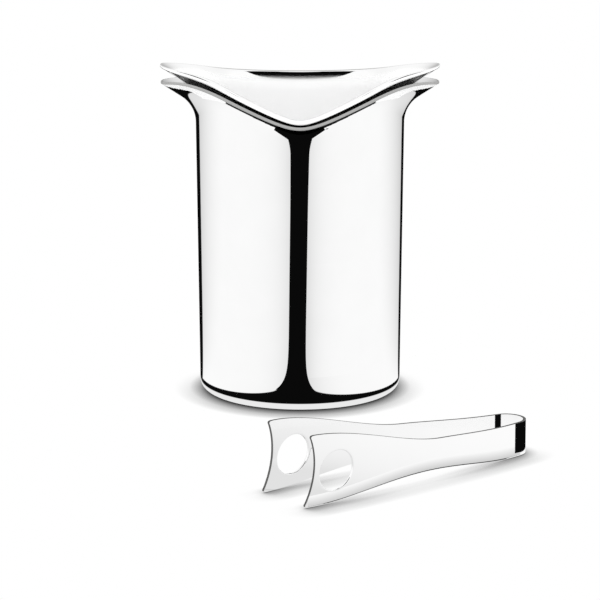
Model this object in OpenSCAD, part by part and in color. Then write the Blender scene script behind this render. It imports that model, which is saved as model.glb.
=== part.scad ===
// Polished ice bucket with a lift-out liner and sprung tongs, in millimetres.
// The bucket stands at the origin, front towards -Y, with its winged rim corners on the X axis.

/* [Bucket] */
// Outer radius of the wall where it would meet the ground
foot_r = 51.9; // [46:0.1:58]
// Outward lean of the wall in degrees
wall_lean = 0.66; // [0.2:0.01:1.5]
// Sheet thickness of the bucket and the liner
sheet = 1.2; // [0.9:0.1:1.8]
// Rounding between wall and floor, outside
foot_round = 5; // [3:0.5:8]
// Height of the winged side corners
corner_h = 160.6; // [150:0.1:175]
// Reach of a side corner beyond the wall
corner_reach = 17.6; // [12:0.1:22]
// Reach of the lip everywhere else
lip_reach = 1.9; // [1.2:0.1:3.5]
// Narrowness of the side corners in plan
corner_taper = 10; // [6:1:20]
// How far the corner tips droop below the rim beside them
corner_droop = 4.3; // [0:0.1:6]
// Depth of the V in the front of the rim
front_dip = 17.6; // [8:0.1:22]
// Extra reach of the lip at the bottom of the V
front_reach = 1; // [0:0.1:2]
// Radius of the tighter cove at the bottom of the V
front_cove_r = 4; // [3:0.5:16]
// Depth of the rounded dip in the back of the rim
back_dip = 13.4; // [6:0.1:16]
// Rounding of the bottom of the V, as a share of its half width
v_round = 0.2; // [0.05:0.01:0.4]
// Hollowness of the arms of the V
v_hollow = 1.2; // [1:0.05:1.6]

/* [Liner] */
// Air gap between the liner and the bucket's wall
air_gap = 2.3; // [1.5:0.1:5]
// Height of the liner's side corners above the bucket's
liner_rise = 8.7; // [5:0.1:12]
// How much further than the bucket's the liner's corners reach beyond their wall
liner_corner_extra = 3.8; // [2:0.1:6]
// How much less the liner's lip reaches everywhere else
liner_lip_less = 0.2; // [0:0.1:0.6]
// How much the liner's lip draws in towards its front
liner_front_less = 0.85; // [0:0.05:1]
// Narrowness of the liner's corners in plan
liner_corner_taper = 17; // [8:1:24]
// How much deeper the V is in the front of the liner
liner_front_extra = 1.2; // [-1:0.1:3]
// How much shallower the dip is in the back of the liner
liner_back_less = 1.2; // [-1:0.1:2]
// Rounding of the bottom of the liner's V
liner_v_round = 0.14; // [0.05:0.01:0.4]
// Hollowness of the arms of the liner's V
liner_v_hollow = 1.14; // [1:0.02:1.6]

/* [Flare] */
// Radius of the cove that turns the wall out into the lip
cove_r = 16; // [12:0.5:22]
// Greatest lean of the lip, from upright, in degrees
lip_lean = 57; // [45:1:65]
// Greatest lean of the lip away from the side corners
front_lean = 35.5; // [30:0.5:45]
// Thickening of the bucket's rolled edge beyond half the sheet
bead_extra = 0.2; // [0:0.05:0.8]
// Thickening of the liner's rolled edge beyond half the sheet
liner_bead_extra = 1.15; // [0:0.05:1.4]
// Upright wall that the collar keeps below the lowest start of the flare
collar_land = 5; // [3:0.5:12]
// Steps round the collar
collar_steps = 120; // [72:4:144]
// Steps along the flare
flare_steps = 7; // [5:1:9]

/* [Tongs] */
// Thickness of the strip
strip = 1.4; // [1:0.1:2]
// Radius of the bow, to the middle of the strip
bow_r = 8.7; // [7:0.1:12]
// Splay of each arm where it leaves the bow, in degrees
arm_splay = 9.7; // [7:0.1:12]
// Radius of the arm's slight inward curve
arm_curve_r = 600; // [500:10:900]
// Length of an arm from bow to tip
arm_len = 139; // [110:1:160]
// Width of the strip at the bow
bow_w = 17.4; // [12:0.1:24]
// Width of the strip at its waist
waist_w = 15.8; // [10:0.1:22]
// Width of the strip at the tip
tip_w = 35; // [26:0.1:42]
// Distance of the waist from the bow
waist_at = 38; // [25:1:50]
// Length of the broad end, at the full tip width
broad_len = 18; // [10:1:40]
// Rise of the strip's lower edge between bow and tip
arch_h = 2.8; // [0:0.1:5]
// Diameter of the round hole in each tip
tip_hole_d = 19; // [10:0.1:24]
// Metal left between the hole and the hollow end
tip_land = 5.2; // [3:0.1:12]
// Depth of the hollow in the tip's end
tip_hollow = 4.5; // [1:0.1:7]
// Rounding of the tip's two corners
tip_corner_r = 2.5; // [1:0.1:4]

/* [Where the tongs lie] */
// Across, to the middle of the bow's ends
tongs_x = 101; // [90:1:160]
// Forwards
tongs_y = -126; // [-180:1:-90]
// Turn about the upright, in degrees
tongs_turn = 217.2; // [180:0.1:260]

/* [Fits] */
// Clearance where the liner stands in the bucket
stand_gap = 0.35; // [0.3:0.05:0.6]
// Slit that lets an arm flex against the bow
flex_gap = 0.4; // [0.35:0.05:0.6]

/* [Hidden] */
$fn = 180;
silver = [0.86, 0.87, 0.88];
pale_silver = [0.92, 0.92, 0.92];
// Overlap of the collar's tongue with the round wall, and its set-back from the wall's faces
tongue = 2;
tongue_inset = 0.1;
// Steps round the rolled rim edge
edge_steps = 8;
// Narrowness of the bottom of the V, where the lip turns out more, and of the liner's drawn-in front
front_taper = 36;
liner_front_taper = 1;
// How soon the lip's greatest lean falls off beside the corners
lean_taper = 6;
// How soon the rim rises from the drooping corner tips towards the front
droop_taper = 3;
// Softening of the back dip where it runs into the corners, as a share of its half width
back_soft = 0.1;
// How far cutting shapes run past what they cut
overshoot = 1;

lean_slope = tan(wall_lean);
wall_skin = sheet / cos(wall_lean);
liner_foot_z = sheet + stand_gap;
liner_foot_r = foot_r - wall_skin - air_gap / cos(wall_lean);

// A rim is described by: corner height, corner reach, lip reach, corner taper, corner droop,
// front dip, back dip, rounding of the V, hollowness of the V, extra reach in front, its taper,
// cove radius in front, thickening of the edge
bucket_rim = [
    corner_h, corner_reach, lip_reach, corner_taper, corner_droop,
    front_dip, back_dip, v_round, v_hollow,
    front_reach, front_taper, front_cove_r, bead_extra
];
liner_rim = [
    corner_h + liner_rise, corner_reach + liner_corner_extra, lip_reach - liner_lip_less,
    liner_corner_taper, 0,
    front_dip + liner_front_extra, back_dip - liner_back_less, liner_v_round, liner_v_hollow,
    -liner_front_less, liner_front_taper, cove_r, liner_bead_extra
];

// Share of a corner at an azimuth: 1 on the X axis, near 0 elsewhere
function corner_share(rim, a) = pow(abs(cos(a)), rim[3]);

// Share of the front at an azimuth: 1 in the middle of the V, 0 from the corners back
function front_share(rim, a) = pow(max(-sin(a), 0), rim[10]);

function rim_reach(rim, a) = rim[2] + (rim[1] - rim[2]) * corner_share(rim, a)
    + rim[9] * front_share(rim, a);

// A dip with straight arms and a rounded bottom: 1 in the middle, 0 at the corners
function v_depth(u, soft) =
    (sqrt(1 + soft * soft) - sqrt(u * u + soft * soft)) / (sqrt(1 + soft * soft) - soft);

function rim_dip(rim, a) = sin(a) < 0
    ? rim[5] * pow(max(v_depth(abs(cos(a)), rim[7]), 0), rim[8])
    : rim[6] * (1 - v_depth(sin(a), back_soft));

function rim_height(rim, a) = rim[0] - rim_dip(rim, a)
    + rim[4] * (1 - pow(corner_share(rim, a), sin(a) < 0 ? droop_taper : 1));

// The cove turns until the lip has its reach, or to the greatest lean and then runs straight
function cove_at(rim, a) = cove_r + (rim[11] - cove_r) * front_share(rim, a);

function most_lean(rim, a) =
    lip_lean + (front_lean - lip_lean) * pow(1 - corner_share(rim, a), lean_taper);

function cove_turn(rim, a) =
    min(most_lean(rim, a), acos(max(1 - rim_reach(rim, a) / cove_at(rim, a), 0)));

function cove_len(rim, a) = cove_at(rim, a) * cove_turn(rim, a) * PI / 180;

function straight_len(rim, a) =
    max(rim_reach(rim, a) - cove_at(rim, a) * (1 - cos(most_lean(rim, a))), 0) / sin(most_lean(rim, a));

function flare_len(rim, a) = cove_len(rim, a) + straight_len(rim, a);

// The rolled edge: its radius, how far round it starts on the outer face, and its neck
function bead_r(rim, a) = sheet / 2 + rim[12] * (1 - corner_share(rim, a));

function bead_tuck(rim, a) = acos(min(sheet / bead_r(rim, a) - 1, 1));

function bead_neck(rim, a) = bead_r(rim, a) * sin(bead_tuck(rim, a));

// Height of the flare's start, which leaves the top of the edge at the rim's height
function flare_start(rim, a) = rim_height(rim, a) - cove_at(rim, a) * sin(cove_turn(rim, a))
    - (straight_len(rim, a) + bead_neck(rim, a) + bead_r(rim, a) - sheet / 2) * cos(cove_turn(rim, a));

// Where the round wall ends and the collar takes over, below the flare all round
function collar_base(rim) = min([for (k = [0 : collar_steps - 1])
    flare_start(rim, 360 * k / collar_steps)]) - collar_land;

// Lean, outward run and rise at a length along the flare
function lean_at(rim, a, s) = min(s / cove_at(rim, a) * 180 / PI, cove_turn(rim, a));

function run_at(rim, a, s) = cove_at(rim, a) * (1 - cos(lean_at(rim, a, s)))
    + max(s - cove_len(rim, a), 0) * sin(cove_turn(rim, a));

function rise_at(rim, a, s) = cove_at(rim, a) * sin(lean_at(rim, a, s))
    + max(s - cove_len(rim, a), 0) * cos(cove_turn(rim, a));

function wall_r(foot, z) = foot + z * lean_slope;

// A point of the flare: depth 0 is the outer face, depth 1 the inner
function flare_point(foot, foot_z, rim, a, s, depth) =
    let (
        start = flare_start(rim, a),
        lean = lean_at(rim, a, s),
        skin = depth * sheet
    )
    [
        wall_r(foot, start - foot_z) + run_at(rim, a, s) - skin * cos(lean),
        start + rise_at(rim, a, s) + skin * sin(lean)
    ];

// A point of the rolled edge, turned from the outer face over the top towards the inner
function edge_point(foot, foot_z, rim, a, turn) =
    let (
        lean = cove_turn(rim, a),
        out = bead_r(rim, a) * (1 + cos(turn)) - sheet / 2,
        up = bead_neck(rim, a) + bead_r(rim, a) * sin(turn)
    )
    flare_point(foot, foot_z, rim, a, flare_len(rim, a), 0.5)
    + [out * cos(lean) + up * sin(lean), up * cos(lean) - out * sin(lean)];

// The collar's section at an azimuth, from the tongue up the outer face and down the inner
function collar_section(foot, foot_z, rim, a, tongue_z) =
    let (
        tongue_r = wall_r(foot, tongue_z - foot_z),
        tuck = bead_tuck(rim, a)
    )
    concat(
        [[tongue_r - tongue_inset, tongue_z]],
        [for (i = [0 : flare_steps])
            flare_point(foot, foot_z, rim, a, flare_len(rim, a) * i / flare_steps, 0)],
        [for (i = [1 : edge_steps - 1])
            edge_point(foot, foot_z, rim, a, (180 + tuck) * i / edge_steps - tuck)],
        [for (i = [flare_steps : -1 : 0])
            flare_point(foot, foot_z, rim, a, flare_len(rim, a) * i / flare_steps, 1)],
        [[tongue_r - wall_skin + tongue_inset, tongue_z]]
    );

module collar(foot, foot_z, rim, tongue_z) {
    sections = [for (k = [0 : collar_steps - 1])
        let (a = 360 * k / collar_steps)
        [for (p = collar_section(foot, foot_z, rim, a, tongue_z))
            [p[0] * cos(a), p[0] * sin(a), p[1]]]
    ];
    n = len(sections[0]);
    points = [for (section = sections) each section];
    faces = [for (k = [0 : collar_steps - 1], i = [0 : n - 1])
        let (
            k2 = (k + 1) % collar_steps,
            i2 = (i + 1) % n,
            a = k * n + i,
            b = k2 * n + i,
            c = k2 * n + i2,
            d = k * n + i2
        )
        each [[a, c, b], [a, d, c]]
    ];
    polyhedron(points = points, faces = faces, convexity = 10);
}

// Half section of a round-footed cup, solid to the axis
module cup_section(foot, foot_z, rounding, top_z) {
    middle_r = foot - rounding * (1 - sin(wall_lean)) / cos(wall_lean);
    middle_z = foot_z + rounding;
    polygon([
        [0, foot_z],
        [middle_r, foot_z],
        [middle_r, middle_z],
        [middle_r + rounding * cos(wall_lean), middle_z - rounding * sin(wall_lean)],
        [wall_r(foot, top_z - foot_z), top_z],
        [0, top_z]
    ]);
    translate([middle_r, middle_z])
        circle(r = rounding);
}

module cup(foot, foot_z, rim) {
    top_z = collar_base(rim);
    rotate_extrude()
        difference() {
            cup_section(foot, foot_z, foot_round, top_z);
            cup_section(
                foot - wall_skin + sheet * lean_slope, foot_z + sheet,
                foot_round - sheet, top_z + overshoot
            );
        }
    collar(foot, foot_z, rim, top_z - tongue);
}

module bucket() {
    color(silver)
        cup(foot_r, 0, bucket_rim);
}

module liner() {
    color(pale_silver)
        cup(liner_foot_r + liner_foot_z * lean_slope, liner_foot_z, liner_rim);
}

broad_at = arm_len - broad_len;

function ease(t) =
    let (c = min(max(t, 0), 1))
    c * c * (3 - 2 * c);

function strip_w(x) = waist_w
    + (bow_w - waist_w) * (1 - ease(x / waist_at))
    + (tip_w - waist_w) * ease((x - waist_at) / (broad_at - waist_at));

function strip_bottom(x) = arch_h * pow(sin(180 * min(x / broad_at, 1)), 2);

// What the rounded tip corners take off the strip's edges
function corner_cut(x) =
    let (d = max(x - (arm_len - tip_corner_r), 0))
    tip_corner_r - sqrt(max(tip_corner_r * tip_corner_r - d * d, 0));

tip_hole_x = arm_len - tip_hollow - tip_land - tip_hole_d / 2;

// Where an arm meets the bow, in the tongs' own axes
bow_end_x = -bow_r * sin(arm_splay);
bow_end_y = bow_r * cos(arm_splay);
// Step along the strip's outline
outline_step = 2.5;
// Spare length of the curved strip, trimmed off at the tip
tip_spare = 6;

module place_tongs() {
    translate([tongs_x, tongs_y, 0])
        rotate([0, 0, tongs_turn])
            children();
}

// Side view of an arm, tip to the right
module arm_outline() {
    xs = [for (i = [0 : floor(arm_len / outline_step)]) i * outline_step, arm_len];
    polygon(concat(
        [for (x = xs) [x, strip_bottom(x) + corner_cut(x)]],
        [for (i = [len(xs) - 1 : -1 : 0])
            [xs[i], strip_bottom(xs[i]) + strip_w(xs[i]) - corner_cut(xs[i])]]
    ));
}

// One arm on the +Y side: a curved strip trimmed to its side view
module arm() {
    hollow_r = (pow(tip_w / 2, 2) / tip_hollow + tip_hollow) / 2;
    trim = 2 * (bow_r + arm_len * sin(arm_splay));
    sweep = (arm_len + tip_spare) / arm_curve_r * 180 / PI;
    slit = flex_gap / 2 / arm_curve_r * 180 / PI;
    difference() {
        intersection() {
            translate([
                bow_end_x + arm_curve_r * sin(arm_splay),
                bow_end_y - arm_curve_r * cos(arm_splay),
                0
            ])
                rotate([0, 0, 90 + arm_splay - sweep])
                    rotate_extrude(angle = sweep - slit)
                        translate([arm_curve_r - strip / 2, -overshoot])
                            square([strip, tip_w + arch_h + 2 * overshoot]);
            translate([bow_end_x, trim, 0])
                rotate([90, 0, 0])
                    linear_extrude(height = 2 * trim)
                        arm_outline();
        }
        translate([bow_end_x + arm_len - tip_hollow + hollow_r, trim, tip_w / 2])
            rotate([90, 0, 0])
                cylinder(r = hollow_r, h = 2 * trim);
        translate([bow_end_x + tip_hole_x, trim, tip_w / 2])
            rotate([90, 0, 0])
                cylinder(d = tip_hole_d, h = 2 * trim);
    }
}

module tongs_bow() {
    slit = flex_gap / 2 / bow_r * 180 / PI;
    from = 90 + arm_splay + slit;
    color(silver)
        place_tongs()
            rotate([0, 0, from])
                rotate_extrude(angle = 360 - 2 * from)
                    translate([bow_r - strip / 2, 0])
                        square([strip, bow_w]);
}

module tongs_arm_front() {
    color(silver)
        place_tongs()
            arm();
}

module tongs_arm_back() {
    color(silver)
        place_tongs()
            mirror([0, 1, 0])
                arm();
}

bucket();
liner();
tongs_bow();
tongs_arm_front();
tongs_arm_back();
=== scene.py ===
import math

import bmesh
import bpy
import numpy as np
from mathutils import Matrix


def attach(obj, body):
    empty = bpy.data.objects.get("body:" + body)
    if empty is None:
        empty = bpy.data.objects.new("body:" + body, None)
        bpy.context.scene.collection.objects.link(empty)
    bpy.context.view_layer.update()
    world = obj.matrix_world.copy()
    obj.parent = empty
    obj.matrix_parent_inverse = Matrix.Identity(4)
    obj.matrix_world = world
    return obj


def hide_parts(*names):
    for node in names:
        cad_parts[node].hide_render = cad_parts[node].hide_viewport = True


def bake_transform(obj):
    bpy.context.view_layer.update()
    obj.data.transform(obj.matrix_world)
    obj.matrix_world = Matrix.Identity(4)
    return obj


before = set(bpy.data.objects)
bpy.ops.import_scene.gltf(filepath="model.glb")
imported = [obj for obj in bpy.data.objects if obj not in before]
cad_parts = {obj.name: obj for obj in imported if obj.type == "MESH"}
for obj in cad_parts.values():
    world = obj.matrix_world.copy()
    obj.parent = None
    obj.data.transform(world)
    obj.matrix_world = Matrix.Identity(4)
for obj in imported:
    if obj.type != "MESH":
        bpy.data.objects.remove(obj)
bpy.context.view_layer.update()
print("frame loaded:", ", ".join(sorted(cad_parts)))

mm = 0.001


def linearColor(hexText):
    # sRGB hex to linear light, with full alpha
    parts = [int(hexText[i:i + 2], 16) / 255 for i in (1, 3, 5)]
    return [c / 12.92 if c <= 0.04045 else ((c + 0.055) / 1.055) ** 2.4 for c in parts] + [1.0]


def addNode(tree, kind, inputs=None, links=None, **settings):
    node = tree.nodes.new(kind)
    for key, value in settings.items():
        setattr(node, key, value)
    for socket, value in (inputs or {}).items():
        node.inputs[socket].default_value = value
    for socket, source in (links or {}).items():
        tree.links.new(source, node.inputs[socket])
    return node


def newMaterial(name):
    material = bpy.data.materials.new(name)
    material.use_nodes = True
    material.node_tree.nodes.clear()
    return material, material.node_tree


def putMesh(name, points, faces, materials, faceMaterial=None):
    # points in metres in the CAD frame; faces is a list of index lists that point outwards
    mesh = bpy.data.meshes.new(name)
    mesh.from_pydata(points.tolist(), [], faces)
    mesh.polygons.foreach_set("use_smooth", np.ones(len(faces), bool))
    for material in materials:
        mesh.materials.append(material)
    if faceMaterial is not None:
        mesh.polygons.foreach_set("material_index", faceMaterial.astype(np.int32))
    mesh.update()
    obj = bpy.data.objects.new(name, mesh)
    bpy.context.scene.collection.objects.link(obj)
    return obj


def putAttribute(obj, name, values):
    layer = obj.data.attributes.new(name, "FLOAT", "POINT")
    layer.data.foreach_set("value", values.astype(np.float32).ravel())


def gridFaces(rows, columns):
    # the quads of a grid of points, row by row
    i, j = np.meshgrid(np.arange(rows - 1), np.arange(columns - 1), indexing="ij")
    here, there = i * columns + j, (i + 1) * columns + j
    return np.stack([here, there, there + 1, here + 1], 2).reshape(-1, 4)


def workLines(tree, spacing, detail):
    # uneven rings or lines along the work, at a spacing in metres
    work = addNode(tree, "ShaderNodeAttribute", attribute_name="alongWork")
    rings = addNode(tree, "ShaderNodeMath", {1: 1 / spacing}, {0: work.outputs["Fac"]}, operation="MULTIPLY")
    return addNode(tree, "ShaderNodeTexNoise", {"Scale": 1.0, "Detail": detail}, {"W": rings.outputs[0]},
                   noise_dimensions="1D")


def cloudPatches(tree, size, detail, rough):
    # soft uneven patches, of a size in metres
    spot = addNode(tree, "ShaderNodeTexCoord")
    return addNode(tree, "ShaderNodeTexNoise", {"Scale": 1 / size, "Detail": detail, "Roughness": rough},
                   {"Vector": spot.outputs["Object"]})


def mirrorPolish(name, tint, shade, rough, haze):
    # spun or rolled silver taken to a mirror by the buff: near-white, no texture to the eye, only a
    # breath of uneven haze left by the mop, and faint rings or lines in the gloss along the work
    cloudSize, lineSpacing, hazeFrom, hazeTo = 14 * mm, 0.9 * mm, 0.1, 0.5
    material, tree = newMaterial(name)
    cloud = cloudPatches(tree, cloudSize, detail=3.0, rough=0.55)
    lines = workLines(tree, lineSpacing, detail=2.0)
    color = addNode(tree, "ShaderNodeMix", {6: linearColor(tint), 7: linearColor(shade)},
                    {0: cloud.outputs["Fac"]}, data_type="RGBA")
    both = addNode(tree, "ShaderNodeMath", None, {0: cloud.outputs["Fac"], 1: lines.outputs["Fac"]},
                   operation="MULTIPLY")
    gloss = addNode(tree, "ShaderNodeMapRange",
                    {"From Min": hazeFrom, "From Max": hazeTo, "To Min": rough, "To Max": rough + haze},
                    {"Value": both.outputs[0]})
    shader = addNode(tree, "ShaderNodeBsdfPrincipled", {"Metallic": 1.0},
                     {"Base Color": color.outputs[2], "Roughness": gloss.outputs["Result"]})
    addNode(tree, "ShaderNodeOutputMaterial", None, {"Surface": shader.outputs[0]})
    return material


def satinCup(name, tint, shade, satin, edgeRough, edgeMetal, edgeTo, satinFrom):
    # satin as left by the spinning, a soft bright metal with fine rings round the wall, which turns into
    # another finish near the rim: that one reaches edgeTo mm from it, and the full satin begins at
    # satinFrom mm
    # real rings are about 0.1 mm apart; drawn at 0.5 mm, the finest that still shows
    ringSpacing, ringRough, ringBump, ringDepth = 0.5 * mm, 0.12, 0.05, 0.05 * mm
    cloudSize, cloudShare, satinMetal = 18 * mm, 0.25, 0.05
    material, tree = newMaterial(name)
    lines = workLines(tree, ringSpacing, detail=3.0)
    cloud = cloudPatches(tree, cloudSize, detail=2.0, rough=0.5)
    rim = addNode(tree, "ShaderNodeAttribute", attribute_name="fromRim")
    depth = addNode(tree, "ShaderNodeMapRange", {"From Min": edgeTo * mm, "From Max": satinFrom * mm},
                    {"Value": rim.outputs["Fac"]}, interpolation_type="SMOOTHSTEP")
    patch = addNode(tree, "ShaderNodeMath", {1: cloudShare}, {0: cloud.outputs["Fac"]}, operation="MULTIPLY")
    tone = addNode(tree, "ShaderNodeMath", None, {0: depth.outputs["Result"], 1: patch.outputs[0]},
                   operation="ADD", use_clamp=True)
    # the colour goes from tint near the rim to shade deeper in: painted shade with depth, with uneven patches
    # on top
    color = addNode(tree, "ShaderNodeMix", {6: linearColor(tint), 7: linearColor(shade)},
                    {0: tone.outputs[0]}, data_type="RGBA")
    gloss = addNode(tree, "ShaderNodeMapRange", {"To Min": satin, "To Max": satin + ringRough},
                    {"Value": lines.outputs["Fac"]})
    rough = addNode(tree, "ShaderNodeMix", {2: edgeRough},
                    {0: depth.outputs["Result"], 3: gloss.outputs["Result"]})
    metal = addNode(tree, "ShaderNodeMapRange", {"To Min": edgeMetal, "To Max": satinMetal},
                    {"Value": depth.outputs["Result"]})
    bump = addNode(tree, "ShaderNodeBump", {"Strength": ringBump, "Distance": ringDepth},
                   {"Height": lines.outputs["Fac"]})
    shader = addNode(tree, "ShaderNodeBsdfPrincipled", None,
                     {"Base Color": color.outputs[2], "Roughness": rough.outputs[0],
                      "Metallic": metal.outputs["Result"], "Normal": bump.outputs[0]})
    addNode(tree, "ShaderNodeOutputMaterial", None, {"Surface": shader.outputs[0]})
    return material


polishedSilver = mirrorPolish("polishedSilver", "#FEFEFE", "#FAFAFA", rough=0.012, haze=0.02)
polishedStrip = mirrorPolish("polishedStrip", "#FFFFFF", "#FDFDFD", rough=0.02, haze=0.03)
# the strip's sheared edges are left rough from the die, and painted grey for the dark outline they show in
# reflection
shearedShadedEdge = mirrorPolish("shearedShadedEdge", "#7C7C7B", "#5E5E5D", rough=0.3, haze=0.1)
# painted shadow: near black on the undercut below a rolled edge and on the liner's bead underside in front,
# the shade in the slit between the shells
shadowSeam = mirrorPolish("paintedShadowSeam", "#161616", "#101010", rough=0.3, haze=0.1)
# the liner's inside is satin up to a polished lip, painted a little darker deeper in as shade
satinInside = satinCup("satinSilver", "#FEFEFE", "#F6F6F6", satin=0.4, edgeRough=0.015, edgeMetal=1.0,
                       edgeTo=4.5, satinFrom=9.0)
# the bucket's own inside, hidden by the liner, is left dull, and painted dark deeper down as the shade in the
# slit under the liner
dullShadedInside = satinCup("dullShadedSilver", "#F4F4F4", "#4C4C4B", satin=0.5, edgeRough=0.03, edgeMetal=1.0,
                      edgeTo=5.0, satinFrom=16.0)
# the rolled edges are satin, white on the liner; on the bucket, and on the liner's crest behind, they are
# painted grey as the shade under the liner's lip and along the far rim
shadedGreyEdge = satinCup("satinShadedGreyEdge", "#A6A6A5", "#9C9C9B", satin=0.5, edgeRough=0.4, edgeMetal=0.15,
                     edgeTo=0.0, satinFrom=3.0)
satinWhite = satinCup("satinWhiteEdge", "#FEFEFE", "#FAFAFA", satin=0.4, edgeRough=0.4, edgeMetal=0.15,
                      edgeTo=0.0, satinFrom=3.0)
print("materials ready")


# Bucket and liner: one closed shell each, a profile whose rim changes with the azimuth

bucketForm = {
    "footRadius": 51.9, "footZ": 0.0, "wallLean": math.radians(0.66), "sheet": 1.2, "footRound": 5.0,
    "cornerHeight": 160.6, "cornerReach": 17.6, "lipReach": 1.9, "cornerTaper": 10, "cornerDroop": 4.3,
    "droopTaper": 3, "frontDip": 17.6, "backDip": 13.4, "backSoft": 0.1, "vRound": 0.2, "vHollow": 1.2,
    "coveRadius": 16.0, "lipLean": math.radians(57), "leanTaper": 6, "bead": 0.2,
    "spoutReach": 1.0, "spoutCove": 4.0, "spoutLean": math.radians(35.5), "spoutTaper": 36,
    "azimuthSteps": 384, "baseSteps": 8, "footSteps": 14, "innerFootSteps": 10, "wallSteps": 25,
    "flareSteps": 40, "beadSteps": 18,
    # finishes by steps round the bead: the rolled edge, where the inside begins, how far the painted shadow
    # on the underside reaches in front, and the painted grey crest behind
    "edgeFrom": 0, "edgeTo": 18, "insideFrom": 18, "shadeUnderTo": 0, "crestFrom": 0, "crestTo": 0,
    # finishes below the edge: the painted shadow seam between the wings and the satin band under their edge,
    # whose limits are shares of the corner's reach; the inside's polish fades sooner away from the wings
    "seam": 1.5, "seamShare": 0.15, "wingBand": 10.0, "bandShare": 0.02, "bandFull": 0.35, "bandPower": 0.7,
    "wingPolish": 1.0, "polishShare": 0.05,
}

# the liner stands on the bucket's floor, an air gap inside its wall
airGap, standGap = 2.3, 0.35
linerForm = dict(bucketForm)
linerForm.update({
    "footZ": bucketForm["sheet"] + standGap,
    "cornerHeight": 169.28, "cornerReach": 21.36, "lipReach": 1.7, "cornerTaper": 17, "cornerDroop": 0.0,
    "frontDip": 18.8, "backDip": 12.2, "vRound": 0.14, "vHollow": 1.14, "bead": 1.15,
    "spoutReach": -0.85, "spoutTaper": 1, "spoutCove": 16.0,
    "edgeFrom": 7, "edgeTo": 11, "insideFrom": 11, "shadeUnderTo": 7, "crestFrom": 12, "crestTo": 16,
    "seam": 0.0, "wingBand": 0.0, "wingPolish": 0.0,
})
wallGap = (bucketForm["sheet"] + airGap) / math.cos(bucketForm["wallLean"])
linerForm["footRadius"] = (bucketForm["footRadius"] - wallGap
                           + linerForm["footZ"] * math.tan(bucketForm["wallLean"]))


def rimOf(form, a):
    # reach: the lip's, rising to the corner's as a high power of |cos a|, and a little at the V's bottom
    # height: the corner's, less a V with straight arms in front and a rounded dip behind, and higher by the
    # corners' droop away from them
    # cove and lean: the V's bottom turns out more sharply and less far than the corners
    # bead: the rolled edge's radius, half the sheet at the corners and growing away from them
    c, s = np.abs(np.cos(a)), np.sin(a)
    share = c ** form["cornerTaper"]
    spout = np.maximum(-s, 0) ** form["spoutTaper"]
    reach = form["lipReach"] + (form["cornerReach"] - form["lipReach"]) * share + form["spoutReach"] * spout
    soft, ease = form["vRound"], form["backSoft"]
    top = math.sqrt(1 + soft * soft)
    vee = np.maximum((top - np.sqrt(c * c + soft * soft)) / (top - soft), 0) ** form["vHollow"]
    behind = (np.sqrt(s * s + ease * ease) - ease) / (math.sqrt(1 + ease * ease) - ease)
    dip = np.where(s < 0, form["frontDip"] * vee, form["backDip"] * behind)
    droop = form["cornerDroop"] * (1 - share ** np.where(s < 0, form["droopTaper"], 1))
    height = form["cornerHeight"] - dip + droop
    cove = form["coveRadius"] + (form["spoutCove"] - form["coveRadius"]) * spout
    most = form["lipLean"] + (form["spoutLean"] - form["lipLean"]) * (1 - share) ** form["leanTaper"]
    bead = form["sheet"] / 2 + form["bead"] * (1 - share)
    return reach, height, cove, most, bead


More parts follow.
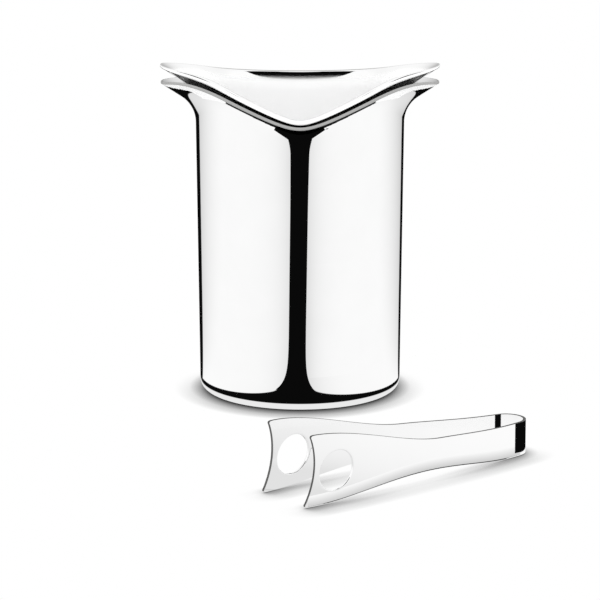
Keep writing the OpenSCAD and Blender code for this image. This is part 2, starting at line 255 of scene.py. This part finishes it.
def cupShell(name, form, materials):
    # profile from the middle of the base out, up the wall, through the cove and lip, over the rim and
    # back down the inside to the middle of the floor, carried round the axis
    n = form["azimuthSteps"]
    a = (2 * math.pi * np.arange(n) / n)[:, None]
    reach, height, coveR, maxLean, bead = rimOf(form, a)
    lean0, sheet = form["wallLean"], form["sheet"]
    slope, half = math.tan(lean0), sheet / 2
    flat = np.ones_like(a)

    # cove: an arc from the wall's lean to the lip's, then straight to the full reach
    turn = np.minimum(maxLean, np.arccos(np.clip(1 - reach / coveR, 0, 1)))
    straight = np.maximum(reach - coveR * (1 - np.cos(maxLean)), 0) / np.sin(maxLean)
    tuck = np.arccos(np.clip(sheet / bead - 1, -1, 1))
    neck = bead * np.sin(tuck)
    rise = coveR * np.sin(turn) + straight * np.cos(turn) + (neck + bead - half) * np.cos(turn)
    start = height - rise + coveR * math.sin(lean0)
    wallAtStart = form["footRadius"] + (start - form["footZ"]) * slope
    length = coveR * (turn - lean0) + straight
    s = length * np.linspace(0, 1, form["flareSteps"] + 1)[None, :]
    lean = np.minimum(lean0 + s / coveR, turn)
    extra = np.maximum(s - coveR * (turn - lean0), 0)
    flareR = wallAtStart + coveR * (math.cos(lean0) - np.cos(lean)) + extra * np.sin(turn)
    flareZ = start + coveR * (np.sin(lean) - math.sin(lean0)) + extra * np.cos(turn)
    innerR, innerZ = flareR - sheet * np.cos(lean), flareZ + sheet * np.sin(lean)

    # rolled edge: a round bead that leaves the outer face, goes over the top and runs into the inner face
    around = -tuck + (math.pi + tuck) * np.linspace(0, 1, form["beadSteps"] + 1)[None, 1:]
    out, up = bead - half + bead * np.cos(around), neck + bead * np.sin(around)
    edgeR = flareR[:, -1:] - half * np.cos(turn) + out * np.cos(turn) + up * np.sin(turn)
    edgeZ = flareZ[:, -1:] + half * np.sin(turn) - out * np.sin(turn) + up * np.cos(turn)

    # foot: a quarter round between the flat base and the wall, outside and inside
    def foot(footR, footZ, rounding, steps):
        middleR = footR - rounding * (1 - math.sin(lean0)) / math.cos(lean0)
        arc = np.linspace(-math.pi / 2, -lean0, steps + 1)[None, :]
        arcR, arcZ = middleR + rounding * np.cos(arc), footZ + rounding + rounding * np.sin(arc)
        baseR = middleR * np.linspace(0, 1, form["baseSteps"] + 1)[None, :-1]
        return (np.hstack([baseR, arcR]) * flat, np.hstack([np.full_like(baseR, footZ), arcZ]) * flat)

    outFootR, outFootZ = foot(form["footRadius"], form["footZ"], form["footRound"], form["footSteps"])
    inFootR, inFootZ = foot(form["footRadius"] - sheet / math.cos(lean0) + sheet * slope,
                            form["footZ"] + sheet, form["footRound"] - sheet, form["innerFootSteps"])
    up = np.linspace(0, 1, form["wallSteps"] + 1)[None, 1:-1]
    wallR = outFootR[:, -1:] + (flareR[:, :1] - outFootR[:, -1:]) * up
    wallZ = outFootZ[:, -1:] + (flareZ[:, :1] - outFootZ[:, -1:]) * up
    downR = inFootR[:, -1:] + (innerR[:, :1] - inFootR[:, -1:]) * up
    downZ = inFootZ[:, -1:] + (innerZ[:, :1] - inFootZ[:, -1:]) * up

    r = np.hstack([outFootR, wallR, flareR, edgeR, innerR[:, ::-1], downR[:, ::-1], inFootR[:, ::-1]])
    z = np.hstack([outFootZ, wallZ, flareZ, edgeZ, innerZ[:, ::-1], downZ[:, ::-1], inFootZ[:, ::-1]])
    rimStart = outFootR.shape[1] + wallR.shape[1] + flareR.shape[1]

    # the first and last columns are the two poles, one point each
    body = np.stack([r * np.cos(a), r * np.sin(a), z], 2)[:, 1:-1].reshape(-1, 3)
    points = np.vstack([body, [[0, 0, form["footZ"]], [0, 0, form["footZ"] + sheet]]]) * mm
    w = r.shape[1] - 2
    k, j = np.meshgrid(np.arange(n), np.arange(w - 1), indexing="ij")
    k2 = (k + 1) % n
    quads = np.stack([k * w + j, k2 * w + j, k2 * w + j + 1, k * w + j + 1], 2).reshape(-1, 4)
    k = np.arange(n)
    k2 = (k + 1) % n
    basePole = np.stack([np.full(n, n * w), k2 * w, k * w], 1)
    floorPole = np.stack([np.full(n, n * w + 1), k * w + w - 1, k2 * w + w - 1], 1)

    # finishes, in the order of the materials: the polish outside, the inside, the rolled edge, the painted
    # shadow on the undercut below it or on its underside, the satin band under the wings' edge and the
    # painted grey crest behind
    polish, inside, rolled, paintedShadow, satinBand, paintedGreyCrest = range(6)
    cornerShare = np.abs(np.cos(a)) ** form["cornerTaper"]
    nearCorner = np.repeat(cornerShare, w - 1)
    front = np.repeat(np.sin(a), w - 1) < 0
    past = np.broadcast_to(np.arange(w - 1), (n, w - 1)).ravel() - (rimStart - 2)
    below = -past * np.repeat(length / form["flareSteps"], w - 1)
    seam = np.repeat(form["seam"] * (1 + np.maximum(-np.sin(a), 0) ** form["spoutTaper"]), w - 1)
    band = (form["wingBand"] * np.sqrt(1 - nearCorner)
            * np.minimum(nearCorner / form["bandFull"], 1) ** form["bandPower"])
    part = np.where((past < 0) & (below <= seam) & (nearCorner < form["seamShare"]), paintedShadow, polish)
    part = np.where((past >= form["edgeFrom"]) & (past < form["edgeTo"]), rolled, part)
    part = np.where(past > form["insideFrom"], inside, part)
    part = np.where((past < 0) & (below <= band) & (nearCorner > form["bandShare"]) & front, satinBand, part)
    part = np.where((past >= 0) & (past < form["shadeUnderTo"]) & front, paintedShadow, part)
    part = np.where((past >= form["crestFrom"]) & (past < form["crestTo"]) & ~front, paintedGreyCrest, part)
    part = np.concatenate([part, np.full(n, polish), np.full(n, inside)])
    obj = putMesh(name, points, quads.tolist() + basePole.tolist() + floorPole.tolist(), materials, part)

    # the way along the profile, and the distance from the middle of the bead; the poles lie deep inside
    step = np.hypot(np.diff(r, axis=1), np.diff(z, axis=1)).cumsum(1)
    putAttribute(obj, "alongWork", np.concatenate([step[:, :w].ravel(), [0.0], [step[:, -1].mean()]]) * mm)
    rimColumn, deep = rimStart + form["beadSteps"] // 2, form["footRadius"] * 3
    share = np.maximum(cornerShare, form["polishShare"]) ** form["wingPolish"]
    fromRim = (np.abs(step[:, :w] - step[:, rimColumn:rimColumn + 1]) / share).ravel()
    putAttribute(obj, "fromRim", np.concatenate([fromRim, [deep, deep]]) * mm)
    return obj


bucketShell = cupShell("bucket_shell", bucketForm,
                       [polishedSilver, dullShadedInside, shadedGreyEdge, shadowSeam, satinWhite, shadedGreyEdge])
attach(bucketShell, "bucket")
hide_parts("bucket")

linerShell = cupShell("liner_shell", linerForm,
                      [polishedSilver, satinInside, satinWhite, shadowSeam, satinWhite, shadedGreyEdge])
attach(linerShell, "liner")
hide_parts("liner")
print("bucket and liner ready")


# Tongs: one bent strip, made as two halves that meet in the middle of the bow

tongsForm = {
    "strip": 1.4, "bowRadius": 8.7, "splay": math.radians(9.7), "curveRadius": 600.0, "length": 137.4,
    "bowWidth": 17.4, "waistWidth": 15.8, "tipWidth": 35.0, "waistAt": 56.0, "broadLength": 2.0, "arch": 5.1,
    "holeRadius": 9.5, "holeZ": 15.9, "land": 3.4, "tipLean": math.radians(6), "leanFrom": 40.0,
    "hollow": 4.5, "cornerRadius": 2.5, "cornerSet": 0.6, "cornerShare": 0.9, "cornerPull": 0.55,
    "edgeRadius": 0.4, "sharpFrom": math.radians(50),
    "place": (101.0, -126.0), "turn": math.radians(217.2), "blendFrom": -5.0, "blendTo": 9.0,
    "bowSteps": 44, "armSteps": 64, "acrossSteps": 16, "gridTo": 100.0,
    "tipSteps": 25, "bendSteps": 7, "endSteps": 24, "tipRings": 12, "roundSteps": 4,
}


def easeOf(t):
    c = np.clip(t, 0, 1)
    return c * c * (3 - 2 * c)


def turnCurve(start, pull, end, q):
    # a curve from start to end, drawn towards pull
    return (1 - q) ** 2 * start + 2 * q * (1 - q) * pull + q ** 2 * end


def stripEdges(form, x):
    # lower and upper edge of the strip in its side view, at a distance x from the bow: the width eases from
    # the bow's to the waist's and on to the tip's, and the lower edge rises in an arch
    broadAt = form["length"] - form["broadLength"]
    toWaist = easeOf(x / form["waistAt"])
    toTip = easeOf((x - form["waistAt"]) / (broadAt - form["waistAt"]))
    width = (form["waistWidth"] + (form["bowWidth"] - form["waistWidth"]) * (1 - toWaist)
             + (form["tipWidth"] - form["waistWidth"]) * toTip)
    lower = form["arch"] * np.sin(math.pi * np.clip(x / broadAt, 0, 1)) ** 2
    return lower, lower + width


def bendStrip(form, x, z, side):
    # side view to space: the half bow is an arc about the tongs' middle, the arm a long arc that curves
    # inward; x below 0 is arc length along the bow. Gives points and the normals of the strip's outer face
    bowR, splay, curveR = form["bowRadius"], form["splay"], form["curveRadius"]
    turned = math.pi / 2 + splay - x / bowR
    bow = np.stack([bowR * np.cos(turned), bowR * np.sin(turned)], -1)
    bowNormal = np.stack([np.cos(turned), np.sin(turned)], -1)
    startX, startY = -bowR * math.sin(splay), bowR * math.cos(splay)
    midX, midY = startX + curveR * math.sin(splay), startY - curveR * math.cos(splay)
    across = np.clip((startX + x - midX) / curveR, -1, 1)
    armNormal = np.stack([across, np.sqrt(1 - across ** 2)], -1)
    arm = armNormal * curveR + np.array([midX, midY])
    onBow = (x < 0)[..., None]
    flat, normal = np.where(onBow, bow, arm), np.where(onBow, bowNormal, armNormal)
    flip = np.array([1, side])
    c, s = math.cos(form["turn"]), math.sin(form["turn"])
    spin = np.array([[c, s], [-s, c]])
    flat, normal = (flat * flip) @ spin + np.array(form["place"]), (normal * flip) @ spin
    z = z[..., None]
    return np.concatenate([flat, z], -1), np.concatenate([normal, np.zeros_like(z)], -1)


def tongsHalf(name, form, side, materials):
    rho = form["edgeRadius"]
    bowLength = form["bowRadius"] * (math.pi / 2 - form["splay"])
    n = form["acrossSteps"]

    # part one, a plain grid along the strip, set in from its edges by their rounding
    x = np.concatenate([np.linspace(-bowLength, 0, form["bowSteps"] + 1)[:-1],
                        np.linspace(0, form["gridTo"], form["armSteps"] + 1)])
    lower, upper = stripEdges(form, np.maximum(x, 0))
    v = np.linspace(0, 1, n + 1)
    gridX = np.repeat(x[:, None], n + 1, 1)
    gridZ = (lower + rho)[:, None] + (upper - lower - 2 * rho)[:, None] * v[None, :]
    rows = len(x)

    # part two, rings from the tip's outline in to the hole: the long edges, a quarter turn at each corner
    # and the hollow end, an arc
    corner, tip, mid = form["cornerRadius"], form["length"], form["tipWidth"] / 2
    hollowR = (mid ** 2 / form["hollow"] + form["hollow"]) / 2
    hollowX = tip - form["hollow"] + hollowR
    topX = np.linspace(form["gridTo"], tip - corner - form["cornerSet"], form["tipSteps"] + 1)[1:]
    topZ = stripEdges(form, topX)[1] - rho
    lowX = topX[::-1]
    lowZ = stripEdges(form, lowX)[0] + rho
    endZ = mid - np.linspace(-1, 1, form["endSteps"] + 1) * (mid - corner * form["cornerShare"])
    endX = hollowX - np.sqrt((hollowR + rho) ** 2 - (endZ - mid) ** 2)
    q = np.linspace(0, 1, form["bendSteps"] + 1)[1:-1]
    bendX = turnCurve(topX[-1], endX[0] + form["cornerPull"] * corner, endX[0], q)
    bendZ = turnCurve(topZ[-1], topZ[-1], endZ[0], q)
    lowBendZ = turnCurve(lowZ[0], lowZ[0], endZ[-1], q[::-1])
    loopX = np.concatenate([gridX[-1], topX, bendX, endX, bendX[::-1], lowX])
    loopZ = np.concatenate([gridZ[-1], topZ, bendZ, endZ, lowBendZ, lowZ])
    holeX, holeZ = tip - form["hollow"] - form["land"] - form["holeRadius"], form["holeZ"]
    angle = np.unwrap(np.arctan2(loopZ - holeZ, loopX - holeX))
    circleX = holeX + (form["holeRadius"] + rho) * np.cos(angle)
    circleZ = holeZ + (form["holeRadius"] + rho) * np.sin(angle)
    ring = np.linspace(0, 1, form["tipRings"] + 1)[1:, None]
    ringX = loopX + (circleX - loopX) * ring
    ringZ = loopZ + (circleZ - loopZ) * ring

    flatX = np.concatenate([gridX.ravel(), loopX[n + 1:], ringX.ravel()])
    flatZ = np.concatenate([gridZ.ravel(), loopZ[n + 1:], ringZ.ravel()])
    # the tip's end leans, as the tongs rest on the bow and on the lower corners of the broader tips
    leanShare = easeOf((flatX - form["leanFrom"]) / (tip - form["leanFrom"]))
    flatX = flatX - math.tan(form["tipLean"]) * (flatZ - mid) * leanShare
    loopCount = len(loopX)
    ringStart = gridX.size + loopCount - n - 1
    outer = np.arange((rows - 1) * (n + 1), ringStart)
    rings = np.vstack([outer, ringStart + np.arange(form["tipRings"] * loopCount).reshape(-1, loopCount)])
    here, there = rings[:-1], rings[1:]
    tipQuads = np.stack([np.roll(here, -1, 1), np.roll(there, -1, 1), there, here], 2).reshape(-1, 4)
    sheetQuads = np.vstack([gridFaces(rows, n + 1), tipQuads])

    # the sheet's two faces, half the strip's thickness to each side
    middle, normal = bendStrip(form, flatX, flatZ, side)
    half = form["strip"] / 2
    count = len(flatX)
    points = [middle + normal * half, middle - normal * half]

    # rounded edges: round the outline from the bow's middle and back, and round the hole; away points out
    # of the strip, and the mirrored half turns it
    outline = np.concatenate([np.arange(rows) * (n + 1), outer[n + 1:][::-1],
                              (np.arange(rows) * (n + 1) + n)[::-1]])
    arc = np.linspace(0, math.pi / 2, form["roundSteps"] + 1)[1:]
    lift = np.concatenate([half - rho + rho * np.cos(arc), -(half - rho + rho * np.cos(arc[::-1]))])
    push = np.concatenate([rho * np.sin(arc), rho * np.sin(arc[::-1])])
    faces = []
    base = 2 * count
    for loop, closed in ((outline, False), (rings[-1], True)):
        p, nrm = middle[loop], normal[loop]
        along = (np.roll(p, -1, 0) - np.roll(p, 1, 0)) if closed else np.gradient(p, axis=0)
        away = np.cross(along, nrm)
        away /= np.linalg.norm(away, axis=1)[:, None]
        away *= -side if closed else side
        edge = p[:, None] + away[:, None] * push[None, :, None] + nrm[:, None] * lift[None, :, None]
        ids = base + np.arange(len(loop) * len(push)).reshape(len(loop), -1)
        full = np.hstack([loop[:, None], ids, loop[:, None] + count])
        points.append(edge.reshape(-1, 3))
        base += ids.size
        nextFull = np.roll(full, -1, 0) if closed else full[1:]
        thisFull = full if closed else full[:-1]
        strips = np.stack([thisFull[:, :-1], thisFull[:, 1:], nextFull[:, 1:], nextFull[:, :-1]], 2)
        strips = strips.reshape(-1, 4)
        faces.append(strips if closed else strips[:, ::-1])
        if not closed:
            firstEnd, lastEnd = full[0], full[-1]
    seam = np.arange(n)
    seamQuads = np.stack([seam, seam + 1, seam + 1 + count, seam + count], 1)

    points = np.vstack(points) * mm
    quads = np.vstack([sheetQuads[:, ::-1], sheetQuads + count] + faces + [seamQuads])
    allFaces = quads.tolist() + [firstEnd.tolist(), lastEnd.tolist()]
    # material 1 is the sheared edge round the outline, painted grey as a dark outline, without the hole's
    part = np.zeros(len(allFaces), int)
    part[2 * len(sheetQuads):2 * len(sheetQuads) + len(faces[0])] = 1
    obj = putMesh(name, points, allFaces, materials, part)
    putAttribute(obj, "alongWork", points[:, 2])
    return obj


def outwardFaces(obj, sharpFrom):
    # the two halves are mirror images, so their faces are turned to point out
    work = bmesh.new()
    work.from_mesh(obj.data)
    bmesh.ops.recalc_face_normals(work, faces=work.faces)
    work.to_mesh(obj.data)
    work.free()
    obj.data.set_sharp_from_angle(angle=sharpFrom)


for half, side, body, node in (("tongs_front_half", 1, "tongs_front_arm", "tongs_arm_front"),
                               ("tongs_back_half", -1, "tongs_back_arm", "tongs_arm_back")):
    piece = tongsHalf(half, tongsForm, side, [polishedStrip, shearedShadedEdge])
    outwardFaces(piece, tongsForm["sharpFrom"])
    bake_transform(piece)
    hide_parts(node, "tongs_bow")
print("tongs ready")


# Stage: white sweep, a dome of white light, a lamp for the inside, flags and cards that only the metal sees

sweepForm = {"size": 6.0, "below": 0.0001, "closeReach": 7 * mm, "softReach": 15 * mm,
             "softTowards": (0.0, 0.98, 0.2), "softPower": 1.1, "samples": 16}


def whiteSweep(form):
    # matt white paper, which stays white and keeps a close soft shadow under the pieces
    material, tree = newMaterial("whiteSweepPaper")
    path = addNode(tree, "ShaderNodeLightPath")
    seen = addNode(tree, "ShaderNodeMath", None,
                   {0: path.outputs["Is Camera Ray"], 1: path.outputs["Is Glossy Ray"]}, operation="MAXIMUM")
    # a close shadow at the contact, and a longer soft one towards the front, as the light comes a little
    # from behind
    close = addNode(tree, "ShaderNodeAmbientOcclusion", {"Distance": form["closeReach"]},
                    samples=form["samples"])
    tilt = addNode(tree, "ShaderNodeCombineXYZ", dict(enumerate(form["softTowards"])))
    soft = addNode(tree, "ShaderNodeAmbientOcclusion", {"Distance": form["softReach"]},
                   {"Normal": tilt.outputs[0]}, samples=form["samples"])
    deep = addNode(tree, "ShaderNodeMath", {1: form["softPower"]}, {0: soft.outputs["AO"]}, operation="POWER")
    depth = addNode(tree, "ShaderNodeMath", None, {0: deep.outputs[0], 1: close.outputs["AO"]},
                    operation="MULTIPLY")
    glow = addNode(tree, "ShaderNodeEmission", None, {"Strength": depth.outputs[0]})
    paper = addNode(tree, "ShaderNodeBsdfDiffuse", {"Color": linearColor("#FFFFFF")})
    mix = addNode(tree, "ShaderNodeMixShader", None,
                  {0: seen.outputs[0], 1: paper.outputs[0], 2: glow.outputs[0]})
    addNode(tree, "ShaderNodeOutputMaterial", None, {"Surface": mix.outputs[0]})
    material.cycles.emission_sampling = "NONE"
    return material


def flagCloth(name, oneSided):
    # black velvet flags and grey-edged cards round the set: the brightness of each point is its shade
    # attribute; a one-sided cloth is clear from behind
    material, tree = newMaterial(name)
    shade = addNode(tree, "ShaderNodeAttribute", attribute_name="shade")
    surface = addNode(tree, "ShaderNodeEmission", None, {"Strength": shade.outputs["Fac"]})
    if oneSided:
        facing = addNode(tree, "ShaderNodeNewGeometry")
        clear = addNode(tree, "ShaderNodeBsdfTransparent")
        surface = addNode(tree, "ShaderNodeMixShader", None,
                          {0: facing.outputs["Backfacing"], 1: surface.outputs[0], 2: clear.outputs[0]})
    addNode(tree, "ShaderNodeOutputMaterial", None, {"Surface": surface.outputs[0]})
    material.cycles.emission_sampling = "NONE"
    return material


flagMaterial = flagCloth("flagCloth", False)
screenMaterial = flagCloth("oneSidedScreen", True)
# brightness of the black cloth and of the white cards
clothBlack, cardWhite = 0.003, 0.985


def metalOnly(obj):
    obj.visible_camera = obj.visible_diffuse = obj.visible_transmission = False
    obj.visible_volume_scatter = obj.visible_shadow = False


def gridSheet(name, x, y, z, shade, cloth=flagMaterial):
    # a sheet over a grid of points in mm that carries its brightness, seen by the metal alone
    points = np.stack(np.broadcast_arrays(x, y, z), 2)
    faces = gridFaces(*points.shape[:2]).tolist()
    obj = putMesh(name, points.reshape(-1, 3) * mm, faces, [cloth])
    putAttribute(obj, "shade", np.broadcast_to(shade, points.shape[:2]))
    metalOnly(obj)


def polarSheet(name, rho, phi, z, shade, cloth=flagMaterial):
    # the same over a grid of distances and directions, 0 degrees to the front
    a = np.radians(phi - 90)
    gridSheet(name, rho * np.cos(a), rho * np.sin(a), z, shade, cloth)


sweepCorners = np.array([[-1, -1, 0], [1, -1, 0], [1, 1, 0], [-1, 1, 0]]) * sweepForm["size"]
sweep = putMesh("white_sweep", sweepCorners - [0, 0, sweepForm["below"]], [[0, 1, 2, 3]],
                [whiteSweep(sweepForm)])

floorForm = {
    "innerRadius": 20.0, "fineTo": 160.0, "outerRadius": 5000.0, "nearSteps": 280, "farSteps": 89,
    "turnSteps": 720, "height": 0.3, "soft": 1.2, "middle": -0.6, "footMiddle": -3.6,
    "strip": 8.6, "stripFade": 70.0, "cards": 60.0, "cardsAt": 66.0, "cardsFade": 10.5, "cardsTo": 160.0,
    "frontGrey": 0.22, "frontFade": 12.0, "backGrey": 0.35, "backFrom": 90.0, "backSpan": 57.0,
    "backPower": 1.6, "backX": 46.0, "backY": -14.0, "backLeft": 0.62, "backRight": 0.5,
    "footRadius": 57.0, "footShadowGrey": 0.85,
}


def frontShade(form, turn):
    # what a white card loses towards the strip in front, at an angle from it
    return form["frontGrey"] * np.exp(-np.maximum(turn - form["strip"], 0) / form["frontFade"])


def floorFlags(form):
    # on the floor: two white cards whose edges leave black between them towards the bucket's foot, and black
    # behind; the cards darken a little towards both
    near = np.linspace(form["innerRadius"], form["fineTo"], form["nearSteps"] + 1)
    far = np.geomspace(form["fineTo"], form["outerRadius"], form["farSteps"] + 1)[1:]
    rho = np.concatenate([near, far])[:, None]
    phi = np.linspace(-180, 180, form["turnSteps"] + 1)[None, :]
    side = np.abs(phi)
    edge = form["cards"] * np.exp(-(rho - form["cardsAt"]) / form["cardsFade"])
    edge = edge + form["strip"] * np.clip((form["cardsTo"] - rho) / form["stripFade"], 0, 1)
    edge = np.where(rho < form["cardsTo"], edge, 0)
    backShare = np.minimum(np.maximum(side - form["backFrom"], 0) / form["backSpan"], 1)
    white = (cardWhite - frontShade(form, np.abs(phi - form["middle"]))
             - form["backGrey"] * backShare ** form["backPower"])
    # distances inside the black areas and the foot's disc, in mm, with soft borders half in and half out
    inFront = np.radians(edge - np.abs(phi - form["footMiddle"])) * rho
    x, y = rho * np.sin(np.radians(side)), -rho * np.cos(np.radians(side))
    slope = np.where(phi < 0, form["backLeft"], form["backRight"])
    inBack = np.minimum(form["backX"] + slope * (y - form["backY"]) - x, y - form["backY"])
    dark = np.clip(np.maximum(inFront, inBack) / form["soft"] + 0.5, 0, 1)
    # the disc round the foot is grey: painted shadow, the floor's contact shadow as the metal mirrors it
    foot = np.clip((form["footRadius"] - rho) / form["soft"] + 0.5, 0, 1)
    shade = white + (clothBlack - white) * dark
    polarSheet("floor_flags", rho, phi, form["height"], shade + (form["footShadowGrey"] - shade) * foot)


floorFlags(floorForm)

stripForm = {"y": -59.0, "middle": -1.06, "middleAt": 76.0, "tilt": 0.0175, "low": 8.6, "top": 142.0,
             "half": 5.5, "flare": 0.8, "waist": 97.0, "span": 60.0, "crown": 2.2, "crownFrom": 132.0,
             "foot": 38.0, "footFade": 5.5, "footLeft": 0.16, "steps": 160}


def stripCard(form):
    # a narrow black card that stands close before the bucket, tilted a little, broader at its top and with a
    # foot that spreads in a curve
    z = np.linspace(form["low"], form["top"], form["steps"] + 1)[:, None]
    foot = form["foot"] * np.exp(-z / form["footFade"])
    crown = np.maximum((z - form["crownFrom"]) / (form["top"] - form["crownFrom"]), 0) ** 2
    width = (form["half"] + form["flare"] * np.maximum((z - form["waist"]) / form["span"], 0) ** 2
             + form["crown"] * crown + foot)
    middle = form["middle"] + form["tilt"] * (z - form["middleAt"]) - form["footLeft"] * foot
    gridSheet("strip_card", middle + width * np.array([[-1, 0, 1]]), form["y"], z, clothBlack)


stripCard(stripForm)

backdropForm = {"distance": 2500.0, "halfWidth": 75.0, "low": 0.5, "high": 48.0, "grey": 0.35, "power": 1.5,
                "steps": (16, 40)}


def backdropCard(form):
    # a card low behind, grey in its middle and fading to white upwards and sideways, which shades the wings'
    # inner faces
    t = np.linspace(0, 1, form["steps"][0] + 1)[:, None]
    u = np.linspace(-1, 1, form["steps"][1] + 1)[None, :]
    rise = np.radians(form["low"] + (form["high"] - form["low"]) * t)
    shade = cardWhite - (cardWhite - form["grey"]) * (1 - t) ** form["power"] * (1 - u * u)
    polarSheet("backdrop_card", form["distance"] * np.cos(rise), 180 + form["halfWidth"] * u,
               form["distance"] * np.sin(rise), shade)


backdropCard(backdropForm)

hornForm = {"half": 13.6, "middle": -0.3, "near": 53.6, "far": 60.5, "z": 137.6, "rise": 8.6,
            "steps": (64, 3)}


def hornCard(form):
    # a small black card close under the lip at the bottom of the V, rising to its two ends, that only the
    # lip mirrors
    u = np.linspace(-1, 1, form["steps"][0] + 1)[:, None]
    v = np.linspace(0, 1, form["steps"][1] + 1)[None, :]
    rho = form["near"] + (form["far"] - form["near"]) * v
    polarSheet("horn_card", rho, form["middle"] + form["half"] * u, form["z"] + form["rise"] * np.abs(u),
               clothBlack)


hornCard(hornForm)

bowForm = {"radius": 13.4, "from": 47.0, "to": 150.0, "low": 0.3, "high": 18.5, "steps": (32, 2)}


def bowCard(form, place):
    # a low black card bent round the outside of the tongs' bow
    a = np.radians(np.linspace(form["from"], form["to"], form["steps"][0] + 1))[:, None]
    z = np.linspace(form["low"], form["high"], form["steps"][1] + 1)[None, :]
    gridSheet("bow_card", place[0] + form["radius"] * np.sin(a), place[1] - form["radius"] * np.cos(a), z,
              clothBlack)


bowCard(bowForm, tongsForm["place"])

insideForm = {"from": (2.4, 1.4), "to": (2.8, 5.9), "low": 7.0, "high": 17.2, "steps": (4, 2)}


def insideCard(form, place):
    # a small card between the arms, black only from the bow's side, that the inside of the bow mirrors
    u = np.linspace(1, 0, form["steps"][0] + 1)[:, None]
    z = np.linspace(form["low"], form["high"], form["steps"][1] + 1)[None, :]
    x, y = (place[i] + form["from"][i] + (form["to"][i] - form["from"][i]) * u for i in (0, 1))
    gridSheet("inside_card", x, y, z, clothBlack, screenMaterial)


insideCard(insideForm, tongsForm["place"])

screenForm = {"radius": 112.0, "from": 4.5, "to": 54.0, "low": 0.4, "high": 62.0, "spread": 1.3,
              "steps": (48, 2)}


def tongsScreen(form, floor):
    # a low white screen between bucket and tongs that is white only from the bucket's side, so that the
    # bucket mirrors white there and not the tongs
    phi = np.linspace(form["to"], form["from"], form["steps"][0] + 1)[:, None]
    z = np.linspace(form["low"], form["high"], form["steps"][1] + 1)[None, :]
    shade = cardWhite - frontShade(floor, form["spread"] * phi)
    polarSheet("tongs_screen", form["radius"], phi, z, shade, screenMaterial)


tongsScreen(screenForm, floorForm)

overheadForm = {"distance": 2000.0, "halfWidth": 95.0, "low": 31.0, "lift": 11.6, "liftPower": 1.2,
                "high": 75.0, "steps": (32, 96)}


def overheadFlag(form):
    # black above and in front, over the cards: a patch of a sphere whose lower border rises to its sides
    t = np.linspace(0, 1, form["steps"][0] + 1)[:, None]
    phi = np.linspace(-form["halfWidth"], form["halfWidth"], form["steps"][1] + 1)[None, :]
    low = form["low"] + form["lift"] * (np.abs(phi) / form["halfWidth"]) ** form["liftPower"]
    rise = np.radians(low + (form["high"] - low) * t)
    polarSheet("overhead_flag", form["distance"] * np.cos(rise), phi, form["distance"] * np.sin(rise),
               clothBlack)


overheadFlag(overheadForm)

lampForm = {"place": (0.0, -0.6, 0.75), "aim": (0.0, 0.045, 0.13), "size": 0.35, "watts": 2.4}


def insideLamp(form):
    # a soft lamp in front and above that lights the far inside of the liner; the polish doesn't mirror it
    data = bpy.data.lights.new("inside_lamp", "AREA")
    data.size, data.energy = form["size"], form["watts"]
    lamp = bpy.data.objects.new("inside_lamp", data)
    bpy.context.scene.collection.objects.link(lamp)
    lamp.location = form["place"]
    away = np.array(form["place"]) - np.array(form["aim"])
    lamp.rotation_euler = (math.atan2(-away[1], away[2]), 0, 0)
    lamp.visible_glossy = False
    lamp.visible_camera = False


insideLamp(lampForm)

world = bpy.data.worlds.new("whiteDome")
bpy.context.scene.world = world
world.use_nodes = True
world.node_tree.nodes.clear()
dome = addNode(world.node_tree, "ShaderNodeBackground", {"Color": (1, 1, 1, 1), "Strength": 1.0})
addNode(world.node_tree, "ShaderNodeOutputWorld", None, {"Surface": dome.outputs[0]})

bpy.context.scene.view_settings.view_transform = "Standard"
# light bounces many times inside the satin cup, and is soon lost in the slit between the two shells
bpy.context.scene.cycles.max_bounces = 48
bpy.context.scene.cycles.diffuse_bounces = 40
bpy.context.scene.cycles.glossy_bounces = 12

cameraForm = {"place": (0.0, -1.870, 0.501), "aim": (0.0, 0.0, 0.046), "angle": math.radians(9.268),
              "clip": (0.01, 50.0)}
lens = bpy.data.cameras.new("camera")
lens.sensor_fit = "HORIZONTAL"
lens.angle = cameraForm["angle"]
lens.clip_start, lens.clip_end = cameraForm["clip"]
camera = bpy.data.objects.new("camera", lens)
bpy.context.scene.collection.objects.link(camera)
camera.location = cameraForm["place"]
drop = cameraForm["place"][2] - cameraForm["aim"][2]
camera.rotation_euler = (math.pi / 2 - math.atan2(drop, -cameraForm["place"][1]), 0, 0)
bpy.context.scene.camera = camera

edgeForm = {"dark": 0.8, "step": 0.05, "soft": 5.0, "low": 0.32, "black": 0.02, "grey": 0.62, "white": 0.97,
            "from": 0.5, "short": 1, "steps": 64}


def edgeShadowCard(form, tongs, eye):
    # a low card in front of the tongs, laid where the front arm's lower edge mirrors it: a dark line, then
    # soft grey, a painted shadow that stands in for the floor's shadow in that reflection
    x = np.linspace(form["from"], tongs["length"] - form["short"], form["steps"] + 1)[:, None]
    lift = np.array([[0, form["dark"], form["dark"] + form["step"], form["dark"] + form["soft"]]])
    shade = np.array([[form["black"], form["black"], form["grey"], form["white"]]])
    z = stripEdges(tongs, x)[0] + lift
    middle, normal = bendStrip(tongs, x + 0 * z, z, 1)
    point = middle + normal * tongs["strip"] / 2
    look = point - np.array(eye) / mm
    look /= np.linalg.norm(look, axis=2, keepdims=True)
    away = look - 2 * (look * normal).sum(2, keepdims=True) * normal
    spot = point - away * (np.maximum(z - form["low"], 0) / away[..., 2])[..., None]
    gridSheet("edge_shadow_card", spot[..., 0], spot[..., 1], spot[..., 2], shade)


edgeShadowCard(edgeForm, tongsForm, cameraForm["place"])
print("stage and camera ready")
